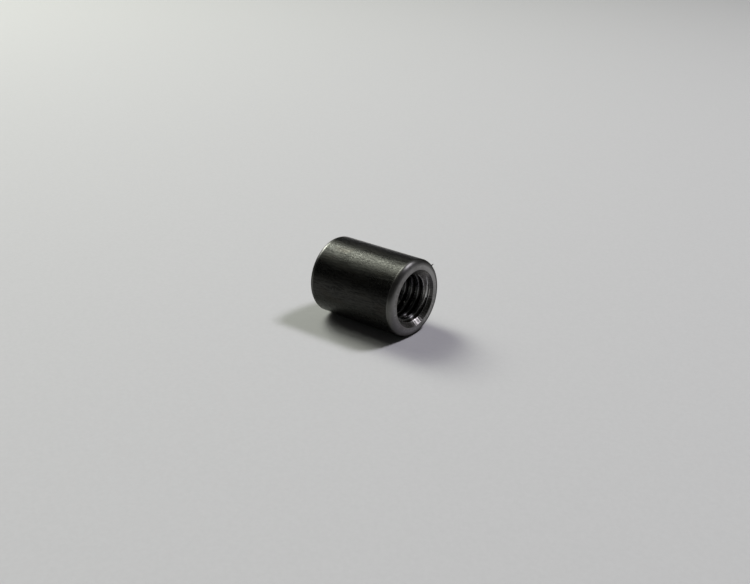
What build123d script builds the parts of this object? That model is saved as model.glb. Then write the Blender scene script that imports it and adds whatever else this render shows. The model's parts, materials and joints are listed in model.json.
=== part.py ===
from build123d import *
import math
import os

# Weld bung: a plain turned steel sleeve with a coarse right-hand thread cut right through it.
# It is one piece. It stands on its rear end, +Z runs along its axis, and the origin is the
# middle of the rear face. Sizes are in millimetres.

# The bar it is turned from
INCH = 25.4
body_diameter = 0.75 * INCH
body_length = 1.0 * INCH

# The broken outer edge of each end: how far it goes in across the face and along the side,
# how far in from the square corner its curve is pulled, and how many flats follow the curve
edge_break_width = 1.0
edge_break_depth = 1.15
edge_break_pull_in = 0.2
edge_break_flats = 3

# The thread, 1/2-13, tapped in a generous hole
thread_diameter = 0.5 * INCH
thread_pitch = INCH / 13
thread_depth = 0.73
thread_angle = 60
thread_root_flat_share = 1 / 8
thread_first_groove = 1.8

# The countersink at each end of the thread
countersink_margin = 0.85
countersink_angle = 82

# Worked out from the sizes above
body_radius = body_diameter / 2
thread_radius = thread_diameter / 2
bore_radius = thread_radius - thread_depth
countersink_radius = thread_radius + countersink_margin
groove_overlap = 0.3 * thread_depth
countersink_depth = (countersink_radius - bore_radius) / math.tan(math.radians(countersink_angle / 2))


def half_section():
    """The sleeve's wall on the XZ plane: bore, two countersinks, two end faces, two broken edges."""
    bore_low = (bore_radius, 0, countersink_depth)
    bore_high = (bore_radius, 0, body_length - countersink_depth)
    rear_mouth = (countersink_radius, 0, 0)
    front_mouth = (countersink_radius, 0, body_length)
    rear_face_rim = (body_radius - edge_break_width, 0, 0)
    front_face_rim = (body_radius - edge_break_width, 0, body_length)
    rear_side_rim = (body_radius, 0, edge_break_depth)
    front_side_rim = (body_radius, 0, body_length - edge_break_depth)
    outline = [
        Polyline(bore_high, bore_low, rear_mouth, rear_face_rim),
        broken_edge(rear_face_rim, rear_side_rim),
        Line(rear_side_rim, front_side_rim),
        broken_edge(front_face_rim, front_side_rim),
        Polyline(front_face_rim, front_mouth, bore_high),
    ]
    return make_face(outline)


def broken_edge(face_rim, side_rim):
    """Narrow flats from the face to the side, along a curve pulled out almost to the square corner."""
    pull = (body_radius - edge_break_pull_in, 0, face_rim[2])
    curve = Bezier(face_rim, pull, side_rim)
    return Polyline([curve @ (step / edge_break_flats) for step in range(edge_break_flats + 1)])


def groove_turn():
    """One turn of the V groove, starting one pitch or more below the rear face."""
    root_half_width = thread_pitch * thread_root_flat_share / 2
    flank_slope = math.tan(math.radians(thread_angle / 2))
    inner_radius = bore_radius - groove_overlap
    mouth_half_width = root_half_width + (thread_radius - inner_radius) * flank_slope
    start = thread_first_groove - 2 * thread_pitch
    groove_section = make_face(
        Polyline(
            (inner_radius, 0, start - mouth_half_width),
            (thread_radius, 0, start - root_half_width),
            (thread_radius, 0, start + root_half_width),
            (inner_radius, 0, start + mouth_half_width),
            close=True,
        )
    )
    path = Helix(pitch=thread_pitch, height=thread_pitch, radius=bore_radius, center=(0, 0, start))
    return sweep(groove_section, path=path, is_frenet=True)


def weld_bung():
    """The turned sleeve, with one turn of the groove after another cut from end to end."""
    sleeve = revolve(half_section(), axis=Axis.Z)
    first_turn = groove_turn()
    turns = math.ceil(body_length / thread_pitch) + 3
    groove = [first_turn.moved(Location((0, 0, turn * thread_pitch))) for turn in range(turns)]
    return sleeve - groove


os.makedirs("parts", exist_ok=True)
export_step(weld_bung(), "parts/weld_bung.step")
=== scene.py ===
import json
import math

import bpy
import numpy as np
from mathutils import Matrix, Vector


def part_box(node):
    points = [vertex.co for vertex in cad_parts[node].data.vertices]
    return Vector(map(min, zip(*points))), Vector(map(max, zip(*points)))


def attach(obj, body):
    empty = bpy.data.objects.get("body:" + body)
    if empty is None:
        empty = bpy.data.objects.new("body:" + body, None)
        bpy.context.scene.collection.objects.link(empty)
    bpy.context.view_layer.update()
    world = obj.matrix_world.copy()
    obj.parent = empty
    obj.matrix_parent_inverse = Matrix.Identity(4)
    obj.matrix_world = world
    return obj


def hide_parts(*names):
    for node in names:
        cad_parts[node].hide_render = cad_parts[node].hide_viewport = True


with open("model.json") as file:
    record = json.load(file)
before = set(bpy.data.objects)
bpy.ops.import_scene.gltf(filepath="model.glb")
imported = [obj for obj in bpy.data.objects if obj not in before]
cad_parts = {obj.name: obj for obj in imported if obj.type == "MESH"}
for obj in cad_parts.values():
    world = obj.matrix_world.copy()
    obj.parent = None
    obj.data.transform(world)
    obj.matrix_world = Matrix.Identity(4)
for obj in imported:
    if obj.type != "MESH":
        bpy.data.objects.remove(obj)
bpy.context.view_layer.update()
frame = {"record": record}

bl_info = {
    "name": "Weld bung",
    "version": (1, 0, 0),
    "blender": (4, 5, 0),
    "location": "3D View > Sidebar > Weld bung",
    "description": "Dresses a threaded weld bung in drawn, turned and tapped steel, and sets its stage",
    "category": "Object",
}

# The bung stands on its rear end, +Z runs along its axis, and the origin is the middle of the rear
# face. Lengths are in metres.
NODE = "weld_bung"
BODY = "root"
MM = 0.001
NODE_LOW, NODE_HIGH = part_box(NODE)
MOUNTS = {mount["name"]: mount for mount in frame["record"]["mounts"]}
BODY_RADIUS = MOUNTS["weld_side"]["dims"]["r_mm"] * MM
BORE_RADIUS = MOUNTS["thread"]["dims"]["r_mm"] * MM
BODY_LENGTH = NODE_HIGH.z - NODE_LOW.z
MIDDLE = Vector((0, 0, BODY_LENGTH / 2))

# How finely the sleeve is divided: round the axis, across an end face, round a broken edge and
# along the side
COLUMNS = 216
FACE_STEPS = 8
EDGE_STEPS = 12
SIDE_STEPS = 20

# The thread: the slope of its flanks, half the width of a groove's flat root as a share of the
# pitch, how far from a crest's corner its next points are, and how soft that corner is
FLANK_ANGLE = math.radians(30)
HALF_ROOT_SHARE = 1 / 32
CREST_CORNER = 0.06 * MM
CREST_SOFTNESS = 0.03 * MM

# The lip between an end face and its countersink, the strip of side next to a broken edge, and the
# angle between two faces from which they meet in a corner
LIP = 0.06 * MM
SIDE_MARGIN = 0.3 * MM
CORNER_ANGLE = math.radians(30)

# The burr: where its foot stands on the broken edge's curve, how far it is let in, how it leans and
# curls, its half width at the tip and how much wider it is at the root, how it tapers between them,
# how flat it is, and how finely it is divided
BURR_FOOT = math.radians(60)
BURR_LET_IN = 0.1 * MM
BURR_LEAN = 0.8
BURR_CURL = 0.22
BURR_TIP = 0.03 * MM
BURR_SWELLING = 0.15 * MM
BURR_TAPER = 0.4
BURR_FLATNESS = 0.7
BURR_STEPS = 6
BURR_CORNERS = 6

# What was done to each stretch of the surface: the order of the sleeve's materials
DRAWN, BROKEN, TURNED, SUNK, TAPPED = range(5)

# Marks that both the colour and the relief of a finish follow: the turning marks' spacing in
# millimetres, and how many strokes of the file go round an end face and round a broken edge
TURNING_SPACING = 0.23
FACE_STROKES = 120
EDGE_STROKES = 90

# How deep the finishes' relief may be, and the turn that draws a shine out across the tool's marks
RELIEF = 0.03 * MM
QUARTER_TURN = 0.25

# The two lamps past the rear end are a little yellow, and the one past the front end a little violet
YELLOWISH = (1.0, 1.03, 0.93)
VIOLETISH = (1.0, 0.97, 1.08)
BLACK = (0, 0, 0)


def lying(along, away, up):
    """A direction said as for the bung lying on the floor: along its axis to the front end, away
    from the camera's side, and up off the floor. The floor is the plane that its side rests on."""
    return Vector((-away, -up, along))


# ---------------------------------------------------------------- sizes, colours and view

class BungSizes(bpy.types.PropertyGroup):
    """The bung's sizes that the frame doesn't state."""

    thread_diameter: bpy.props.FloatProperty(
        name="Thread diameter", description="Major diameter of the thread", default=13.05 * MM,
        unit="LENGTH", precision=5)
    thread_pitch: bpy.props.FloatProperty(
        name="Thread pitch", description="Rise of the thread in one turn", default=25.4 / 13 * MM,
        unit="LENGTH", precision=5)
    first_groove: bpy.props.FloatProperty(
        name="First groove", description="Height of the first groove over the +X side", default=1.99 * MM,
        unit="LENGTH", precision=5)
    countersink_diameter: bpy.props.FloatProperty(
        name="Countersink diameter", description="Width of the countersink's mouth", default=14.4 * MM,
        unit="LENGTH", precision=5)
    countersink_angle: bpy.props.FloatProperty(
        name="Countersink angle", description="Angle between the countersink's opposite sides",
        default=math.radians(82), subtype="ANGLE")
    edge_width: bpy.props.FloatProperty(
        name="Edge width", description="How far the broken edge goes in across the end face",
        default=1.35 * MM, unit="LENGTH", precision=5)
    edge_depth: bpy.props.FloatProperty(
        name="Edge depth", description="How far the broken edge goes along the side",
        default=1.25 * MM, unit="LENGTH", precision=5)
    burr_length: bpy.props.FloatProperty(
        name="Burr length", description="Length of the small burr left on the front rim",
        default=0.65 * MM, unit="LENGTH", precision=5)
    burr_turn: bpy.props.FloatProperty(
        name="Burr turn", description="Where the burr is on the front rim, from the +X side",
        default=math.radians(221.5), subtype="ANGLE")


class SteelLook(bpy.types.PropertyGroup):
    """How much light each kind of surface returns, and how rough it is."""

    drawn_colour: bpy.props.FloatVectorProperty(
        name="Drawn side", description="Colour of the dark drawn side", subtype="COLOR", size=3,
        default=(0.0215, 0.0215, 0.0197), min=0, max=1)
    drawn_roughness: bpy.props.FloatProperty(
        name="Drawn roughness", description="Roughness of the drawn side", default=0.285, min=0, max=1,
        subtype="FACTOR")
    turned_colour: bpy.props.FloatVectorProperty(
        name="Turned faces", description="Colour of the turned end faces", subtype="COLOR", size=3,
        default=(0.235, 0.231, 0.229), min=0, max=1)
    turned_roughness: bpy.props.FloatProperty(
        name="Turned roughness", description="Roughness of the end faces", default=0.38, min=0, max=1,
        subtype="FACTOR")
    sunk_colour: bpy.props.FloatVectorProperty(
        name="Countersinks", description="Colour of the two countersinks", subtype="COLOR", size=3,
        default=(0.19, 0.185, 0.175), min=0, max=1)
    tapped_colour: bpy.props.FloatVectorProperty(
        name="Thread", description="Colour of the thread's crests and flanks", subtype="COLOR", size=3,
        default=(0.085, 0.085, 0.084), min=0, max=1)
    # The thread turns to this colour deeper in its grooves, so it grows darker towards the roots.
    root_colour: bpy.props.FloatVectorProperty(
        name="Thread roots", description="Colour of the oil and dirt in the thread's roots",
        subtype="COLOR", size=3, default=(0.03, 0.028, 0.026), min=0, max=1)


class StageLook(bpy.types.PropertyGroup):
    """Floor, light and view."""

    floor_colour: bpy.props.FloatVectorProperty(
        name="Floor", description="Colour of the paper floor", subtype="COLOR", size=3,
        default=(0.605, 0.605, 0.605), min=0, max=1)
    far_colour: bpy.props.FloatVectorProperty(
        name="Background", description="Colour of what lies past the floor", subtype="COLOR", size=3,
        default=(0.55, 0.55, 0.55), min=0, max=1)
    fill: bpy.props.FloatProperty(
        name="Fill", description="Strength of the light that comes from all round", default=0.032, min=0)
    right_power: bpy.props.FloatProperty(
        name="Right lamp", description="Power of the small lamp past the front end", default=7.0,
        unit="POWER", min=0)
    left_power: bpy.props.FloatProperty(
        name="Left lamp", description="Power of the lamp past the rear end", default=6.6, unit="POWER",
        min=0)
    wide_power: bpy.props.FloatProperty(
        name="Wide lamp", description="Power of the wide, weak lamp round the left one", default=4.6,
        unit="POWER", min=0)
    under_glow: bpy.props.FloatProperty(
        name="Under glow", description="Strength of the soft glow that metal shows from under the floor",
        default=1.2, min=0)
    lamp_distance: bpy.props.FloatProperty(
        name="Lamp distance", description="How far the lamps are from the bung", default=1.2,
        unit="LENGTH", min=0.2)
    view_distance: bpy.props.FloatProperty(
        name="View distance", description="Camera to the middle of the bung", default=257 * MM,
        unit="LENGTH", min=0.05)
    view_turn: bpy.props.FloatProperty(
        name="View turn", description="Turn of the view from broadside on towards the front end",
        default=math.radians(39.2), subtype="ANGLE")
    view_tilt: bpy.props.FloatProperty(
        name="View tilt", description="Height of the view above the floor", default=math.radians(23.9),
        subtype="ANGLE")
    view_shift: bpy.props.FloatVectorProperty(
        name="View shift", description="How far the camera stands right of and above that line",
        size=2, default=(0.27 * MM, -1.6 * MM), unit="LENGTH", precision=5)
    lens: bpy.props.FloatProperty(
        name="Lens", description="Focal length on a 36 mm wide sensor", default=50.8, unit="CAMERA")


# ---------------------------------------------------------------- the sleeve's shape

class Skin:
    """A mesh in the making: its points, how sharp each is, its faces and how each was finished."""

    def __init__(self):
        self.points = []
        self.sharpness = []
        self.faces = []
        self.finishes = []

    def point(self, place, sharp=0.0):
        """A new point. Gives its number."""
        self.points.append(tuple(float(part) for part in place))
        self.sharpness.append(float(sharp))
        return len(self.points) - 1

    def ring(self, radius, z, sharp=0.0):
        """A level ring of points round the axis."""
        return [self.point((radius * c, radius * s, z), sharp) for c, s in around()]

    def face(self, corners, finish):
        """A face, without the corners that fall together."""
        kept = [corner for place, corner in enumerate(corners) if corner != corners[place - 1]]
        if len(kept) > 2 and len(set(kept)) == len(kept):
            self.faces.append(tuple(kept))
            self.finishes.append(finish)

    def band(self, upper, lower, finish):
        """Faces between two rings, seen from outside with the upper one on top."""
        for here in range(COLUMNS):
            there = (here + 1) % COLUMNS
            self.face((upper[here], lower[here], lower[there], upper[there]), finish)

    def mesh(self, name):
        """The finished mesh, smooth but for its corners."""
        mesh = bpy.data.meshes.new(name)
        mesh.from_pydata(self.points, [], self.faces)
        mesh.polygons.foreach_set("material_index", self.finishes)
        edge = mesh.attributes.new("sharpness", "FLOAT", "POINT")
        edge.data.foreach_set("value", self.sharpness)
        mesh.polygons.foreach_set("use_smooth", [True] * len(mesh.polygons))
        mesh.set_sharp_from_angle(angle=CORNER_ANGLE)
        return mesh


def around():
    """Cosine and sine at each column of points."""
    angles = 2 * math.pi * np.arange(COLUMNS) / COLUMNS
    return np.stack([np.cos(angles), np.sin(angles)], -1)


def held_between(value, low, high, soft):
    """value, held between low and high with rounded corners of about that softness."""
    over = low + soft * np.logaddexp(0, (value - low) / soft)
    return high - soft * np.logaddexp(0, (high - over) / soft)


def thread_form(sizes):
    """Places across one pitch from a groove's middle to the next, the radius there, and sharpness."""
    pitch = sizes.thread_pitch
    thread_radius = sizes.thread_diameter / 2
    root = pitch * HALF_ROOT_SHARE
    slope = math.tan(FLANK_ANGLE)
    crest = root + (thread_radius - BORE_RADIUS) * slope
    corner = CREST_CORNER
    half = [0, root, root + corner, (root + crest) / 2, crest - 2 * corner, crest - corner, crest,
            crest + corner, crest + 2 * corner, (crest + pitch / 2) / 2]
    across = np.array(half + [pitch / 2] + [pitch - place for place in half[:0:-1]])
    from_groove = np.minimum(across, pitch - across)
    straight = thread_radius - (from_groove - root) / slope
    radius = held_between(straight, BORE_RADIUS, thread_radius, CREST_SOFTNESS)
    sharp = np.where(np.abs(from_groove - crest) < corner / 2, 0.5, 0)
    return across, radius, sharp


def countersink(sizes, height):
    """Radius of the nearer countersink's cone at a height."""
    from_end = np.minimum(height, BODY_LENGTH - height)
    return sizes.countersink_diameter / 2 - from_end * math.tan(sizes.countersink_angle / 2)


def inner_wall(sizes):
    """The threaded wall as a grid, one row for each column round the axis and each row a turn's
    rise higher at its end. Gives heights, radii, sharpness and which points lie on a countersink.
    Where the thread runs out into a countersink, the nearest point moves to the very edge."""
    pitch = sizes.thread_pitch
    across, form, corner = thread_form(sizes)
    turns = range(-3, math.ceil(BODY_LENGTH / pitch) + 3)
    rise = np.concatenate([across + turn * pitch for turn in turns])
    height = sizes.first_groove + rise[None, :] + pitch * np.arange(COLUMNS)[:, None] / COLUMNS
    thread = np.repeat(np.tile(form, len(turns))[None, :], COLUMNS, 0)
    sharp = np.repeat(np.tile(corner, len(turns))[None, :], COLUMNS, 0)
    gap = thread - countersink(sizes, height)
    crosses = gap[:, :-1] * gap[:, 1:] < 0
    share = np.where(crosses, gap[:, :-1] / np.where(crosses, gap[:, :-1] - gap[:, 1:], 1), 0)
    edge = height[:, :-1] + share * (height[:, 1:] - height[:, :-1])
    lower, upper = crosses & (share < 0.5), crosses & (share >= 0.5)
    height[:, :-1] = np.where(lower, edge, height[:, :-1])
    height[:, 1:] = np.where(upper, edge, height[:, 1:])
    on_edge = np.zeros(gap.shape, bool)
    on_edge[:, :-1] |= lower
    on_edge[:, 1:] |= upper
    on_cone = gap < 0
    radius = np.where(on_cone | on_edge, countersink(sizes, height), thread)
    sharp = np.where(on_edge, 1, np.where(on_cone, 0, sharp))
    return height, radius, sharp, on_cone, len(across)


def end_profile(sizes):
    """(radius, depth under the end face, sharpness, finish below it) from lip to side."""
    mouth = sizes.countersink_diameter / 2
    slope = math.tan(sizes.countersink_angle / 2)
    face_start = mouth + LIP
    face_end = BODY_RADIUS - sizes.edge_width
    profile = [(mouth - LIP * slope, LIP, 0.3, TURNED), (mouth - 0.2 * LIP, 0.35 * LIP, 1, TURNED),
               (mouth + 0.35 * LIP, 0.05 * LIP, 1, TURNED)]
    for step in range(FACE_STEPS + 1):
        share = step / FACE_STEPS
        finish = BROKEN if step == FACE_STEPS else TURNED
        profile.append((face_start + (face_end - face_start) * share, 0, 0, finish))
    for step in range(1, EDGE_STEPS + 1):
        turn = math.pi / 2 * step / EDGE_STEPS
        radius = face_end + sizes.edge_width * math.sin(turn)
        depth = sizes.edge_depth * (1 - math.cos(turn))
        profile.append((radius, depth, 1 if step == EDGE_STEPS else 0, BROKEN))
    return profile


def add_outside(skin, sizes):
    """End faces, broken edges and side. Gives the rings of the rear and the front lip."""
    profile = end_profile(sizes)
    front = [skin.ring(radius, BODY_LENGTH - depth, sharp) for radius, depth, sharp, _ in profile]
    rear = [skin.ring(radius, depth, sharp) for radius, depth, sharp, _ in profile]
    for place, (_, _, _, finish) in enumerate(profile[:-1]):
        skin.band(front[place], front[place + 1], finish)
        skin.band(rear[place + 1], rear[place], finish)
    side_start = sizes.edge_depth + SIDE_MARGIN
    side_length = BODY_LENGTH - 2 * side_start
    upper = front[-1]
    for share in np.linspace(0, 1, SIDE_STEPS + 1):
        lower = skin.ring(BODY_RADIUS, BODY_LENGTH - side_start - side_length * share)
        skin.band(upper, lower, DRAWN)
        upper = lower
    skin.band(upper, rear[-1], DRAWN)
    return rear[0], front[0]


def add_inside(skin, sizes, rear_lip, front_lip):
    """The thread and both countersinks, joined to the lips."""
    height, radius, sharp, on_cone, per_turn = inner_wall(sizes)
    number = np.zeros(height.shape, int)
    for column, (c, s) in enumerate(around()):
        for row, z in enumerate(height[column]):
            if z > BODY_LENGTH - LIP:
                number[column, row] = front_lip[column]
            elif z < LIP:
                number[column, row] = rear_lip[column]
            else:
                r = radius[column, row]
                number[column, row] = skin.point((r * c, r * s, z), sharp[column, row])
    # After the last column comes the first one, a whole turn of the thread further on
    next_number = np.vstack([number[1:], np.append(number[0, per_turn:], [front_lip[0]] * per_turn)])
    next_on_cone = np.vstack([on_cone[1:], np.append(on_cone[0, per_turn:], [True] * per_turn)])
    for column in range(COLUMNS):
        here, there = number[column], next_number[column]
        cone = on_cone[column].astype(int) + next_on_cone[column]
        for row in range(height.shape[1] - 1):
            finish = SUNK if cone[row] + cone[row + 1] >= 3 else TAPPED
            skin.face((here[row], here[row + 1], there[row + 1], there[row]), finish)


def sleeve_mesh(sizes):
    """The whole sleeve, closed all round."""
    skin = Skin()
    rear_lip, front_lip = add_outside(skin, sizes)
    add_inside(skin, sizes, rear_lip, front_lip)
    return skin.mesh("weld_bung_steel")


def burr_mesh(sizes):
    """A thin curled whisker of steel on the front rim."""
    skin = Skin()
    out = Vector((math.cos(sizes.burr_turn), math.sin(sizes.burr_turn), 0))
    along_rim = Vector((-out.y, out.x, 0))
    up = Vector((0, 0, 1))
    foot = out * (BODY_RADIUS - sizes.edge_width * (1 - math.sin(BURR_FOOT)))
    foot += up * (BODY_LENGTH - sizes.edge_depth * (1 - math.cos(BURR_FOOT)))
    lean = (out + BURR_LEAN * up).normalized()
    flat = lean.cross(along_rim)
    root = foot - lean * BURR_LET_IN
    turns = [2 * math.pi * corner / BURR_CORNERS for corner in range(BURR_CORNERS)]
    rings = []
    for step in range(BURR_STEPS + 1):
        share = step / BURR_STEPS
        half_width = BURR_SWELLING * (1 - share) ** BURR_TAPER + BURR_TIP
        middle = root + (lean * share + along_rim * BURR_CURL * share * share) * sizes.burr_length
        rings.append([skin.point(middle + along_rim * half_width * math.cos(turn)
                                 + flat * BURR_FLATNESS * half_width * math.sin(turn))
                      for turn in turns])
    for lower, upper in zip(rings, rings[1:]):
        for here in range(BURR_CORNERS):
            there = (here + 1) % BURR_CORNERS
            skin.face((lower[here], lower[there], upper[there], upper[here]), DRAWN)
    skin.face(rings[0][::-1], DRAWN)
    skin.face(rings[-1], DRAWN)
    return skin.mesh("rim_burr")


# ---------------------------------------------------------------- materials

def tinted(colour, *amounts):
    """A colour times one amount, or its red, green and blue each times its own."""
    each = amounts if len(amounts) == 3 else amounts * 3
    return tuple(amount * part for amount, part in zip(each, colour))


def grey(tone):
    """A colour with the same tone in all its parts."""
    return (tone, tone, tone)


class Nodes:
    """A short way to write a node tree. Inputs may be values or other nodes' outputs."""

    def __init__(self, owner):
        owner.use_nodes = True
        self.tree = owner.node_tree

    def add(self, kind, inputs=None, **settings):
        """A new node with its settings and inputs."""
        node = self.tree.nodes.new("ShaderNode" + kind)
        for name, value in settings.items():
            setattr(node, name, value)
        for name, value in (inputs or {}).items():
            self.put(value, node.inputs[name])
        return node

    def put(self, value, socket):
        """A value or another node's output, put into a socket."""
        if isinstance(value, bpy.types.NodeSocket):
            self.tree.links.new(value, socket)
        else:
            socket.default_value = value

    def math(self, operation, first, second=0.0, third=0.0):
        node = self.add("Math", {0: first, 1: second, 2: third}, operation=operation)
        return node.outputs["Value"]

    def plus(self, first, second):
        return self.math("ADD", first, second)

    def times(self, first, second):
        return self.math("MULTIPLY", first, second)

    def spread(self, value, low, high, to_low=0.0, to_high=1.0):
        """value moved from one range to another, and held inside it."""
        node = self.add("MapRange", {"Value": value, "From Min": low, "From Max": high,
                                     "To Min": to_low, "To Max": to_high})
        return node.outputs["Result"]

    def mix(self, share, first, second, blend="MIX"):
        """Two colours mixed."""
        node = self.add("Mix", data_type="RGBA", blend_type=blend)
        self.put(share, node.inputs["Factor"])
        for name, colour in (("A", first), ("B", second)):
            socket = next(s for s in node.inputs if s.name == name and s.type == "RGBA")
            self.put((*colour, 1) if isinstance(colour, tuple) else colour, socket)
        return next(s for s in node.outputs if s.type == "RGBA")

    def cover(self, under, colour, where, strength):
        """A colour laid over another where a pattern is 1, as thickly as strength says."""
        return self.mix(self.times(where, strength), under, colour)

    def noise(self, place, scale, detail=2.0, roughness=0.5):
        node = self.add("TexNoise", {"Vector": place, "Scale": scale, "Detail": detail,
                                     "Roughness": roughness})
        return node.outputs["Fac"]

    def millimetres(self):
        """The place on the object, in millimetres."""
        place = self.add("TexCoord").outputs["Object"]
        node = self.add("VectorMath", {0: place, "Scale": 1 / MM}, operation="SCALE")
        return node.outputs["Vector"]

    def stretched(self, place, amounts):
        """place with each part times its own amount."""
        node = self.add("VectorMath", {0: place, 1: amounts}, operation="MULTIPLY")
        return node.outputs["Vector"]

    def reach(self, place, direction):
        """How far place lies in a direction."""
        node = self.add("VectorMath", {0: place, 1: direction}, operation="DOT_PRODUCT")
        return node.outputs["Value"]

    def joined(self, x, y):
        """A place whose parts are x, y and 0."""
        return self.add("CombineXYZ", {"X": x, "Y": y, "Z": 0.0}).outputs["Vector"]


class SteelNodes(Nodes):
    """The nodes of one of the bung's finishes, and the places, in millimetres, that its marks follow."""

    def __init__(self, owner):
        super().__init__(owner)
        self.place = self.millimetres()
        parts = self.add("SeparateXYZ", {"Vector": self.place}).outputs
        self.x, self.y, self.z = parts["X"], parts["Y"], parts["Z"]

    def radius(self):
        """Distance from the axis."""
        return self.math("SQRT", self.plus(self.times(self.x, self.x), self.times(self.y, self.y)))

    def angle(self):
        """Angle round the axis."""
        return self.math("ARCTAN2", self.y, self.x)

    def sharpness(self):
        """1 on a sharp corner, and 0 on a plain surface."""
        return self.add("Attribute", attribute_name="sharpness").outputs["Fac"]

    def side_share(self, turn, low, high=0.9):
        """1 on one side of the bung as it lies, down to 0 away from it. turn is where that side is,
        in degrees from the far side up over the top."""
        side = lying(0, math.cos(math.radians(turn)), math.sin(math.radians(turn)))
        return self.spread(self.reach(self.place, side * MM / BODY_RADIUS), low, high)

    def streaks(self, twist, across, along, detail, roughness=0.5):
        """Marks drawn out along the bar. twist is how far they turn round the axis for each
        millimetre of height, and across and along are about how many there are to a millimetre."""
        turn = {"Vector": self.place, "Angle": self.times(self.z, twist)}
        twisted = self.add("VectorRotate", turn, rotation_type="Z_AXIS").outputs["Vector"]
        return self.noise(self.stretched(twisted, (across, across, along)), 1, detail, roughness)

    def turning_marks(self):
        """Rings round the axis that wander a little."""
        radius = self.radius()
        wander = self.times(self.noise(self.place, scale=0.4, detail=1), TURNING_SPACING)
        phase = self.times(self.plus(radius, wander), 2 * math.pi / TURNING_SPACING)
        uneven = self.noise(self.joined(self.times(radius, 5.5), 0.0), scale=1, detail=4, roughness=0.7)
        return self.plus(self.times(self.math("SINE", phase), 0.2), uneven)

    def file_marks(self, count):
        """Short strokes across the rim, so many round it, grouped in patches."""
        radius = self.radius()
        slant = self.plus(self.times(self.angle(), count / (2 * math.pi)), self.times(radius, 0.6))
        return self.noise(self.joined(slant, self.times(radius, 0.4)), scale=1, detail=2, roughness=0.6)


def worn_steel(name, colour_of, roughness_of, height_of, bump, streak=0.0, rim=1.0):
    """A metal whose colour, roughness and height come from the three functions, with its shine drawn
    out by streak across the marks of the tool. rim is its shine when seen along the surface."""
    material = bpy.data.materials.new(name)
    nodes = SteelNodes(material)
    shader = nodes.tree.nodes["Principled BSDF"]
    shader.inputs["Metallic"].default_value = 1
    shader.inputs["Specular Tint"].default_value = (rim, rim, rim, 1)
    nodes.put(colour_of(nodes), shader.inputs["Base Color"])
    nodes.put(roughness_of(nodes), shader.inputs["Roughness"])
    relief = nodes.add("Bump", {"Strength": bump, "Distance": RELIEF, "Height": height_of(nodes)})
    nodes.put(relief.outputs["Normal"], shader.inputs["Normal"])
    if streak:
        round_axis = nodes.add("Tangent", direction_type="RADIAL", axis="Z")
        nodes.put(round_axis.outputs["Tangent"], shader.inputs["Tangent"])
        shader.inputs["Anisotropic"].default_value = streak
        shader.inputs["Anisotropic Rotation"].default_value = QUARTER_TURN
    return material


def drawn_steel(look):
    """The dark side: grain along the bar, slanting scratches, a fine sparkle and brown stains."""
    colour = tuple(look.drawn_colour)
    dark_grain, pale_grain = tinted(colour, 0.55), tinted(colour, 1.75)
    glinting = tinted(colour, 1.7)
    brown = tinted(colour, 1.3, 1.05, 0.85)
    worn_and_highlit = tinted(colour, 3.5)

    def grain(nodes):
        fine = nodes.streaks(twist=0.01, across=2.4, along=0.16, detail=4, roughness=0.7)
        steep = nodes.streaks(twist=-0.02, across=3.6, along=0.3, detail=2)
        return nodes.plus(nodes.times(fine, 0.65), nodes.times(steep, 0.35))

    def sparkle(nodes):
        return nodes.streaks(twist=-0.015, across=4.2, along=1.5, detail=2, roughness=0.6)

    def colour_of(nodes):
        steel = nodes.mix(nodes.spread(grain(nodes), 0.41, 0.59), dark_grain, pale_grain)
        speckled = nodes.mix(nodes.spread(sparkle(nodes), 0.5, 0.62), steel, glinting)
        clouds = nodes.noise(nodes.stretched(nodes.place, (1, 1, 0.5)), scale=0.22, detail=3)
        stained = nodes.cover(speckled, brown, nodes.spread(clouds, 0.56, 0.68), strength=0.3)
        # Painted highlight, partly wear: the side is brighter along the sharp corner at the foot of each
        # broken edge.
        return nodes.cover(stained, worn_and_highlit, nodes.sharpness(), strength=0.7)

    def roughness_of(nodes):
        shiny = nodes.spread(sparkle(nodes), 0.35, 0.65, to_low=0.1, to_high=-0.05)
        patches = nodes.noise(nodes.stretched(nodes.place, (1, 1, 0.15)), scale=0.5, detail=2)
        worn = nodes.spread(patches, 0.4, 0.7, to_low=0.0, to_high=0.12)
        return nodes.plus(nodes.plus(shiny, worn), look.drawn_roughness)

    def height_of(nodes):
        return nodes.plus(nodes.times(grain(nodes), 0.8), nodes.times(sparkle(nodes), 1.8))

    return worn_steel("drawn_steel", colour_of, roughness_of, height_of, bump=0.45)


def turned_steel(look):
    """The end faces: turning marks, some strokes of a file, smudges, a painted sheen on the far upper
    side, and a painted highlight, partly wear, on the inner lip.
    """
    colour = tuple(look.turned_colour)
    ring_dip, ring_crest = tinted(colour, 0.66), tinted(colour, 1.2)
    filed = tinted(colour, 1.6)
    dull = tinted(colour, 0.56, 0.53, 0.5)
    bright = tinted(colour, 1.45)
    worn_and_highlit = tinted(colour, 1.7)

    def colour_of(nodes):
        steel = nodes.mix(nodes.spread(nodes.turning_marks(), 0.3, 0.7), ring_dip, ring_crest)
        strokes = nodes.spread(nodes.file_marks(FACE_STROKES), 0.52, 0.68)
        steel = nodes.cover(steel, filed, strokes, strength=0.75)
        clouds = nodes.noise(nodes.place, scale=0.6, detail=4, roughness=0.65)
        steel = nodes.cover(steel, dull, nodes.spread(clouds, 0.46, 0.66), strength=0.55)
        # Painted sheen: the end face is lighter on the far upper side of the bung as it lies.
        steel = nodes.cover(steel, bright, nodes.side_share(38, 0.55), strength=0.8)
        # Painted highlight, partly wear: the inner lip is brighter along its sharp corner.
        return nodes.cover(steel, worn_and_highlit, nodes.sharpness(), strength=0.5)

    def roughness_of(nodes):
        uneven = nodes.noise(nodes.place, scale=1.4, detail=3)
        return nodes.plus(nodes.spread(uneven, 0.3, 0.7, -0.06, 0.06), look.turned_roughness)

    def height_of(nodes):
        return nodes.plus(nodes.turning_marks(), nodes.times(nodes.file_marks(FACE_STROKES), 0.8))

    return worn_steel("turned_steel", colour_of, roughness_of, height_of, bump=0.22, streak=0.5)


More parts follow.
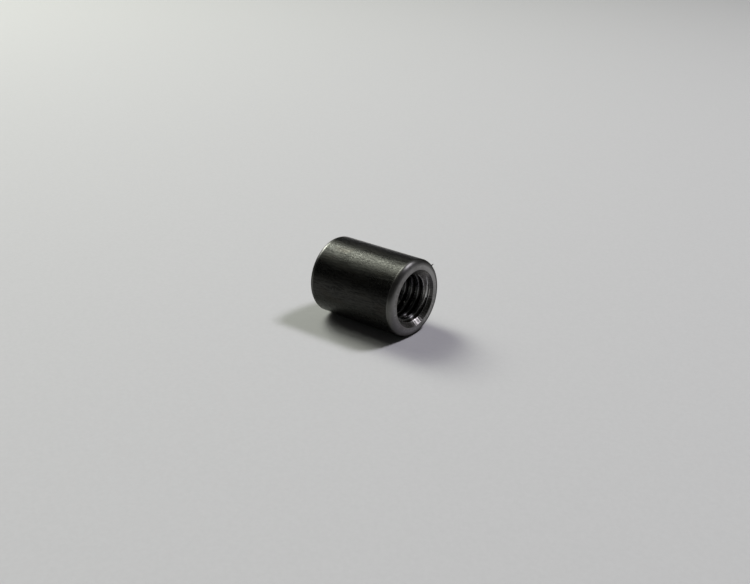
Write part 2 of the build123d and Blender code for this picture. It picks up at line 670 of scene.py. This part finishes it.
def broken_steel(look):
    """The broken edges: as dark as the side at their foot and as bright as the face at their top,
    with painted shade on a stretch of the far side and a painted highlight on the near side of the rear
    edge."""
    bright = tuple(look.turned_colour)
    foot = tinted(tuple(look.drawn_colour), 4.5)
    painted_shade = tinted(bright, 0.3)
    painted_gleam = tinted(bright, 1.15)
    worn_and_highlit = tinted(bright, 0.9)

    def colour_of(nodes):
        radius = nodes.radius()
        uneven = nodes.times(nodes.noise(nodes.stretched(nodes.place, (1.2, 1.2, 2.5)), 1, 3), 0.4)
        inwards = nodes.math("SUBTRACT", BODY_RADIUS / MM + 0.2, nodes.plus(radius, uneven))
        steel = nodes.mix(nodes.spread(inwards, 0.0, 1.3), foot, bright)
        # Painted shade: the edge is darker on a stretch of its far side.
        steel = nodes.cover(steel, painted_shade, nodes.side_share(-38, 0.45), strength=0.55)
        rear_end = nodes.spread(nodes.z, 20, 5)
        # Painted highlight: the rear edge is brighter on a narrow stretch of its near upper side.
        steel = nodes.cover(steel, painted_gleam, nodes.side_share(127, 0.93, 0.99), strength=rear_end)
        # Painted highlight, partly wear: brighter along the sharp corners.
        return nodes.cover(steel, worn_and_highlit, nodes.sharpness(), strength=0.6)

    def roughness_of(nodes):
        return nodes.spread(nodes.noise(nodes.place, scale=1.8, detail=3), 0.3, 0.7, 0.34, 0.46)

    def height_of(nodes):
        return nodes.plus(nodes.file_marks(EDGE_STROKES), nodes.noise(nodes.place, scale=2.5))

    return worn_steel("broken_steel", colour_of, roughness_of, height_of, bump=0.12, streak=0.5, rim=0.25)


def sunk_steel(look):
    """The countersinks: fine rings, the even ladder of marks that a chattering cutter leaves, and
    painted shade on the far side."""
    colour = tuple(look.sunk_colour)
    dull, bright = tinted(colour, 0.7), tinted(colour, 1.25)
    painted_shade = tinted(colour, 0.25)
    worn_and_highlit = tinted(colour, 2.8)

    def chatter(nodes):
        slant = nodes.times(nodes.radius(), 1.1)
        return nodes.math("SINE", nodes.plus(nodes.times(nodes.angle(), 64), slant))

    def colour_of(nodes):
        uneven = nodes.spread(nodes.noise(nodes.place, scale=1.1, detail=3), 0.35, 0.65)
        steel = nodes.mix(uneven, dull, bright)
        steel = nodes.mix(nodes.spread(chatter(nodes), -0.6, 0.6, 0.3, 0.0), steel, BLACK)
        # Painted shade: the countersink is darker on its far side.
        steel = nodes.cover(steel, painted_shade, nodes.side_share(-6, 0.48), strength=1.4)
        # Painted highlight, partly wear: brighter along its sharp corners, where the thread runs out into
        # it.
        return nodes.cover(steel, worn_and_highlit, nodes.sharpness(), strength=0.8)

    def roughness_of(nodes):
        return nodes.spread(nodes.noise(nodes.place, scale=2.0, detail=3), 0.3, 0.7, 0.25, 0.36)

    def height_of(nodes):
        rings = nodes.noise(nodes.stretched(nodes.place, (1, 1, 4)), scale=1.5, detail=3)
        return nodes.plus(nodes.times(chatter(nodes), 0.5), rings)

    return worn_steel("sunk_steel", colour_of, roughness_of, height_of, bump=0.4, streak=0.6)


def tapped_steel(look):
    """The thread: darker deeper in its grooves, torn flanks, and a painted highlight along the crests'
    corners.
    """
    colour, deep_colour = tuple(look.tapped_colour), tuple(look.root_colour)
    flank, crest = tinted(colour, 1.7), tinted(colour, 7.5)

    def colour_of(nodes):
        uneven = nodes.times(nodes.noise(nodes.place, scale=1.6, detail=3), 0.2)
        bore = BORE_RADIUS / MM
        depth = nodes.spread(nodes.plus(nodes.radius(), uneven), bore + 0.1, bore + 0.45)
        # Darker deeper in the grooves, and a painted highlight along the sharp corners of the crests.
        return nodes.mix(nodes.sharpness(), nodes.mix(depth, flank, deep_colour), crest)

    def roughness_of(nodes):
        return nodes.spread(nodes.noise(nodes.place, scale=2.4, detail=3), 0.3, 0.7, 0.25, 0.35)

    def height_of(nodes):
        torn = nodes.noise(nodes.stretched(nodes.place, (1, 1, 5)), scale=1.2, detail=3)
        across = nodes.math("SINE", nodes.times(nodes.angle(), 96))
        return nodes.plus(torn, nodes.times(across, 0.15))

    return worn_steel("tapped_steel", colour_of, roughness_of, height_of, bump=0.05, streak=1.0)


def paper(look):
    """Pale paper with a slow change of tone that is painted shade, darker away from the camera; clear from
    behind.
    """
    material = bpy.data.materials.new("paper")
    nodes = Nodes(material)
    shader = nodes.tree.nodes["Principled BSDF"]
    place = nodes.millimetres()
    colour = tuple(look.floor_colour)
    fibres = nodes.spread(nodes.noise(place, scale=1.2, detail=3), 0.3, 0.7)
    # Painted shade: the paper grows darker away from the camera and towards the front end.
    towards_back = nodes.reach(place, lying(0.367, 0.93, 0))
    shaded = nodes.spread(towards_back, -300, 700)
    tone = nodes.mix(shaded, tinted(colour, 1.13), tinted(colour, 0.63))
    toned = nodes.mix(1.0, tone, nodes.mix(fibres, grey(0.985), grey(1.015)), "MULTIPLY")
    nodes.put(toned, shader.inputs["Base Color"])
    shader.inputs["Roughness"].default_value = 0.9
    shader.inputs["Specular IOR Level"].default_value = 0.1
    behind = nodes.add("NewGeometry").outputs["Backfacing"]
    clear = nodes.add("BsdfTransparent").outputs["BSDF"]
    surface = nodes.add("MixShader", {0: behind, 1: shader.outputs["BSDF"], 2: clear}).outputs["Shader"]
    nodes.put(surface, nodes.tree.nodes["Material Output"].inputs["Surface"])
    return material


def room_shade():
    """Matt grey with painted shade: darker on the camera's side."""
    material = bpy.data.materials.new("dark_room")
    nodes = Nodes(material)
    shader = nodes.tree.nodes["Principled BSDF"]
    away = nodes.reach(nodes.millimetres(), lying(0, 1, 0))
    nodes.put(nodes.mix(nodes.spread(away, 200, 1500), grey(0.25), grey(0.7)), shader.inputs["Base Color"])
    shader.inputs["Roughness"].default_value = 1
    shader.inputs["Specular IOR Level"].default_value = 0
    return material


# ---------------------------------------------------------------- stage

def new_object(name, data):
    """An object that holds data, in the scene."""
    thing = bpy.data.objects.new(name, data)
    bpy.context.scene.collection.objects.link(thing)
    return thing


def set_pose(thing, place, right, up, back):
    """Puts a camera or a lamp at a place, with its right, its top and its back in those directions."""
    turned = Matrix((right, up, back)).transposed().to_4x4()
    thing.matrix_world = Matrix.Translation(place) @ turned


def add_camera(look):
    """The camera, level with the floor, with the front end to its right. Gives its direction as
    seen from the bung."""
    camera = new_object("camera", bpy.data.cameras.new("camera"))
    turn, tilt = look.view_turn, look.view_tilt
    back = lying(math.sin(turn) * math.cos(tilt), -math.cos(turn) * math.cos(tilt), math.sin(tilt))
    right = lying(math.cos(turn), math.sin(turn), 0)
    up = back.cross(right)
    shift = right * look.view_shift[0] + up * look.view_shift[1]
    set_pose(camera, MIDDLE + back * look.view_distance + shift, right, up, back)
    camera.data.sensor_width = 36
    camera.data.lens = look.lens
    camera.data.clip_start = 0.01
    bpy.context.scene.camera = camera
    return back


def add_lamp(name, direction, distance, width, height, power, colour):
    """A rectangular lamp that faces the bung and that the camera doesn't see."""
    data = bpy.data.lights.new(name, "AREA")
    data.shape = "RECTANGLE"
    data.size, data.size_y = width, height
    data.energy = power
    data.color = colour
    lamp = new_object(name, data)
    back = direction.normalized()
    right = lying(0, 0, 1).cross(back).normalized()
    set_pose(lamp, MIDDLE + back * distance, right, back.cross(right), back)
    lamp.visible_camera = False


def add_floor(look):
    """A wide square of paper under the bung's side, seen only from the side it lies on."""
    reach = 1.5
    middle = MIDDLE + lying(0, 0, -BODY_RADIUS)
    a, b = lying(reach, 0, 0), lying(0, reach, 0)
    mesh = bpy.data.meshes.new("floor")
    mesh.from_pydata([middle - a - b, middle + a - b, middle + a + b, middle - a + b], [], [(0, 1, 2, 3)])
    mesh.materials.append(paper(look))
    floor = new_object("floor", mesh)


def half_dome(rings, columns, reach):
    """Points and faces of half a ball round the bung, from its top down to the level of its axis."""
    points = [MIDDLE + lying(0, 0, reach)]
    for ring in range(1, rings + 1):
        tilt = math.pi / 2 * ring / rings
        for column in range(columns):
            turn = 2 * math.pi * column / columns
            level = math.sin(tilt) * reach
            points.append(MIDDLE + lying(level * math.cos(turn), level * math.sin(turn),
                                         math.cos(tilt) * reach))
    faces = []
    for here in range(columns):
        there = (here + 1) % columns
        faces.append((0, 1 + here, 1 + there))
        for ring in range(rings - 1):
            upper = 1 + ring * columns
            lower = upper + columns
            faces.append((upper + here, lower + here, lower + there, upper + there))
    return points, faces


def add_dark_room():
    """A dark half dome behind the lamps that only shines show: a sheet that stands in for the shade of the
    dim room round the table.
    """
    points, faces = half_dome(rings=8, columns=24, reach=2.2)
    mesh = bpy.data.meshes.new("dark_room")
    mesh.from_pydata(points, [], faces)
    mesh.materials.append(room_shade())
    room = new_object("dark_room", mesh)
    room.visible_camera = False
    room.visible_diffuse = False
    room.visible_transmission = False
    room.visible_shadow = False


def set_world(look, towards_glow):
    """Pale where it is seen, straight or in metal, and dim as a light. Under the floor, metal also
    shows a soft round glow there, full up to one angle from its middle and gone at another."""
    full_angle, gone_angle = 0.25, 0.75
    world = bpy.data.worlds.new("studio")
    bpy.context.scene.world = world
    world.cycles.sampling_method = "NONE"
    nodes = Nodes(world)
    path = nodes.add("LightPath").outputs
    seen = nodes.math("MAXIMUM", path["Is Camera Ray"], path["Is Glossy Ray"])
    seen = nodes.math("MAXIMUM", seen, path["Is Transmission Ray"])
    colour = nodes.mix(seen, grey(look.fill), tuple(look.far_colour))
    under = nodes.reach(nodes.add("TexCoord").outputs["Generated"], towards_glow)
    glow = nodes.spread(under, math.cos(gone_angle), math.cos(full_angle))
    shown = nodes.times(glow, path["Is Glossy Ray"])
    background = nodes.tree.nodes["Background"]
    nodes.put(colour, background.inputs["Color"])
    nodes.put(nodes.math("MULTIPLY_ADD", shown, look.under_glow, 1.0), background.inputs["Strength"])


# ---------------------------------------------------------------- operators

def add_piece(name, mesh, materials):
    """A piece of the bung's one body, with its materials."""
    for material in materials:
        mesh.materials.append(material)
    piece = new_object(name, mesh)
    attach(piece, BODY)
    return piece


class BUNG_OT_add_sleeve(bpy.types.Operator):
    """Add the threaded sleeve in place of the plain one"""

    bl_idname = "bung.add_sleeve"
    bl_label = "Add sleeve"

    def execute(self, context):
        finishes = (drawn_steel, broken_steel, turned_steel, sunk_steel, tapped_steel)
        materials = [finish(context.scene.steel_look) for finish in finishes]
        sleeve = add_piece("weld_bung_steel", sleeve_mesh(context.scene.bung_sizes), materials)
        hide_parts(NODE)
        return {"FINISHED"}


class BUNG_OT_add_burr(bpy.types.Operator):
    """Add the small burr on the front rim"""

    bl_idname = "bung.add_burr"
    bl_label = "Add burr"

    def execute(self, context):
        material = bpy.data.materials.get("drawn_steel") or drawn_steel(context.scene.steel_look)
        add_piece("rim_burr", burr_mesh(context.scene.bung_sizes), [material])
        return {"FINISHED"}


class BUNG_OT_set_stage(bpy.types.Operator):
    """Add the floor, the lamps and the camera, and set the world"""

    bl_idname = "bung.set_stage"
    bl_label = "Set stage"

    def execute(self, context):
        look = context.scene.stage_look
        context.scene.view_settings.view_transform = "Standard"
        towards_camera = add_camera(look)
        add_floor(look)
        add_dark_room()
        set_world(look, -towards_camera)
        distance = look.lamp_distance
        add_lamp("lamp_right", lying(0.318, 0.435, 0.842), distance, width=0.22, height=0.22,
                 power=look.right_power, colour=VIOLETISH)
        add_lamp("lamp_left", lying(-0.688, 0.19, 0.7), distance, width=0.42, height=0.5,
                 power=look.left_power, colour=YELLOWISH)
        add_lamp("lamp_wide", lying(-0.688, 0.1, 0.72), distance, width=0.78, height=0.85,
                 power=look.wide_power, colour=YELLOWISH)
        return {"FINISHED"}


class BUNG_PT_panel(bpy.types.Panel):
    """The bung's sizes, looks and buttons"""

    bl_idname = "BUNG_PT_panel"
    bl_label = "Weld bung"
    bl_space_type = "VIEW_3D"
    bl_region_type = "UI"
    bl_category = "Weld bung"

    def draw(self, context):
        for group in (context.scene.bung_sizes, context.scene.steel_look, context.scene.stage_look):
            box = self.layout.box()
            for name in group.__annotations__:
                box.prop(group, name)
        for operator in OPERATORS:
            self.layout.operator(operator.bl_idname)


GROUPS = {"bung_sizes": BungSizes, "steel_look": SteelLook, "stage_look": StageLook}
OPERATORS = (BUNG_OT_add_sleeve, BUNG_OT_add_burr, BUNG_OT_set_stage)


def register():
    for kind in (*GROUPS.values(), *OPERATORS, BUNG_PT_panel):
        bpy.utils.register_class(kind)
    for name, group in GROUPS.items():
        setattr(bpy.types.Scene, name, bpy.props.PointerProperty(type=group))


def unregister():
    for name in GROUPS:
        delattr(bpy.types.Scene, name)
    for kind in (BUNG_PT_panel, *reversed(OPERATORS), *GROUPS.values()):
        bpy.utils.unregister_class(kind)


def main():
    register()
    bpy.ops.bung.add_sleeve()
    bpy.ops.bung.add_burr()
    bpy.ops.bung.set_stage()


if __name__ == "__main__":
    main()
